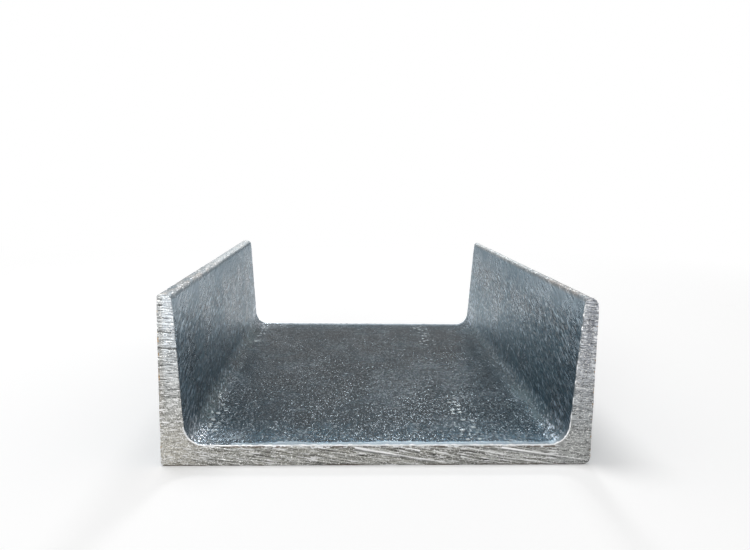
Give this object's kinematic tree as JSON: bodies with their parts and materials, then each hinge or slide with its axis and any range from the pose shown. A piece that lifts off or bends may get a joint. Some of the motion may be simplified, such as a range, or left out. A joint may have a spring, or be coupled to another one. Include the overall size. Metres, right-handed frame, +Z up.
{
  "type": "steel channel",
  "caption": "Short sawn length of hot-rolled stainless steel channel with tapered flanges, for frames, brackets and supports.",
  "frame": {"origin": "centre of the web's underside, halfway across the section and halfway along the piece", "axes": "+X across the section, +Y along the piece, +Z up from the web towards the toes of the flanges"},
  "size_m": [0.14, 0.19, 0.056],
  "materials": {
    "stainless_steel": "pickled dull grey on the rolled faces, bare saw-marked metal on the ends"
  },
  "bodies": {
    "root": {"channel": "stainless_steel"}
  },
  "joints": []
}
